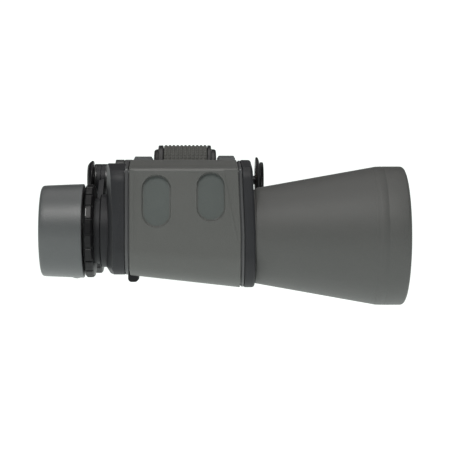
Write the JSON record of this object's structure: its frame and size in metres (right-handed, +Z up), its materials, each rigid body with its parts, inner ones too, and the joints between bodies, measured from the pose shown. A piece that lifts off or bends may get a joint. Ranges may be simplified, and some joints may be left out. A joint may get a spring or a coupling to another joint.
{
  "type": "binoculars",
  "caption": "Porro-prism binoculars with rubber armour, a folding centre hinge, a centre focus wheel, sliding eyepiece bridge and a diopter ring.",
  "frame": {"origin": "on the hinge axis, at the mouth of the tripod socket's thread in the front end of the axle", "axes": "+X along the hinge towards the objectives, +Y to the user's left, +Z up towards the wheel's top"},
  "size_m": [0.1815, 0.1888, 0.0827],
  "materials": {
    "housing_metal": "satin black anodised casting",
    "armour_rubber": "matt grey moulded rubber, fine grain",
    "seam_metal": "dull thin edge strip",
    "black_plastic": "satin black moulded plastic",
    "screw_steel": "blackened steel",
    "black_paint": "satin black enamel on a light casting",
    "inner_aluminium": "plain machined",
    "glass": "polished",
    "coated_glass": "polished with a violet coating",
    "spring_steel": "plain strip",
    "inner_black": "matt black anodised",
    "ocular_black": "matt black moulding",
    "wheel_metal": "turned and gloss black",
    "axle_brass": "turned, blackened at its end",
    "axle_steel": "turned",
    "grip_rubber": "matt rubber with raised squares",
    "eyecup_rubber": "soft matt grey rubber"
  },
  "bodies": {
    "left_half": {"left_prism_housing": "housing_metal", "left_housing_armour": "armour_rubber", "left_rear_seam": "seam_metal", "left_front_seam": "seam_metal", "left_strap_lug": "black_plastic", "left_plate_screws": "screw_steel", "left_rear_plate": "black_paint", "left_front_plate": "black_paint", "left_prism_shelf": "inner_aluminium", "left_rear_prism": "glass", "left_front_prism": "glass", "left_rear_prism_clip": "spring_steel", "left_front_prism_clip": "spring_steel", "left_objective_armour": "armour_rubber", "left_objective_tube": "inner_black", "left_objective_cell": "inner_black", "left_objective_crown": "coated_glass", "left_objective_flint": "glass", "left_retaining_ring": "inner_black", "hinge_axle": "axle_brass", "hinge_tube": "axle_steel"},
    "right_half": {"right_prism_housing": "housing_metal", "right_housing_armour": "armour_rubber", "right_rear_seam": "seam_metal", "right_front_seam": "seam_metal", "right_strap_lug": "black_plastic", "right_plate_screws": "screw_steel", "right_rear_plate": "black_paint", "right_front_plate": "black_paint", "right_prism_shelf": "inner_aluminium", "right_rear_prism": "glass", "right_front_prism": "glass", "right_rear_prism_clip": "spring_steel", "right_front_prism_clip": "spring_steel", "right_objective_armour": "armour_rubber", "right_objective_tube": "inner_black", "right_objective_cell": "inner_black", "right_objective_crown": "coated_glass", "right_objective_flint": "glass", "right_retaining_ring": "inner_black"},
    "focus_wheel": {"focus_wheel_hub": "wheel_metal", "focus_wheel_grip": "grip_rubber"},
    "left_carriage": {"focus_spindle": "inner_aluminium", "bridge_hub": "black_paint", "bridge_cap": "black_plastic", "left_bridge_arm": "black_paint", "left_eyepiece_sleeve": "black_paint", "left_eyepiece_ring": "black_plastic", "left_ocular_barrel": "ocular_black", "left_eye_lens": "coated_glass", "left_field_lens": "glass", "left_eyecup": "eyecup_rubber"},
    "right_carriage": {"right_bridge_arm": "black_paint", "right_eyepiece_sleeve": "black_paint"},
    "diopter_ring": {"diopter_ring": "black_plastic"},
    "right_ocular": {"right_ocular_barrel": "ocular_black", "right_eye_lens": "coated_glass", "right_field_lens": "glass", "right_eyecup": "eyecup_rubber"},
    "tripod_cap": {"tripod_cap": "black_plastic"}
  },
  "joints": [
    {"name": "centre_hinge", "type": "hinge", "parent": "left_half", "child": "right_half", "pos_m": [0, 0, 0], "axis": [1, 0, 0], "range_deg": [-19, 19.5]},
    {"name": "focus_turn", "type": "hinge", "parent": "left_half", "child": "focus_wheel", "pos_m": [0, 0, 0], "axis": [1, 0, 0], "range_deg": [0, 360]},
    {"name": "bridge_slide", "type": "slide", "parent": "left_half", "child": "left_carriage", "axis": [-1, 0, 0], "range_m": [0, 0.007]},
    {"name": "right_bridge_slide", "type": "slide", "parent": "right_half", "child": "right_carriage", "axis": [-1, 0, 0], "range_m": [0, 0.007]},
    {"name": "diopter_turn", "type": "hinge", "parent": "right_carriage", "child": "diopter_ring", "pos_m": [-0.0823, -0.033, -0.0272], "axis": [1, 0, 0], "range_deg": [-70, 70]},
    {"name": "right_ocular_slide", "type": "slide", "parent": "right_carriage", "child": "right_ocular", "axis": [-1, 0, 0], "range_m": [-0.0008, 0.0008]},
    {"name": "tripod_cap_pull", "type": "slide", "parent": "left_half", "child": "tripod_cap", "axis": [1, 0, 0], "range_m": [0, 0.03]}
  ],
  "couplings": [
    {"joint": "bridge_slide", "follows": "focus_turn", "m_per_rad": 0.0011141},
    {"joint": "right_bridge_slide", "follows": "focus_turn", "m_per_rad": 0.0011141},
    {"joint": "right_ocular_slide", "follows": "diopter_turn", "m_per_rad": 0.00064}
  ]
}
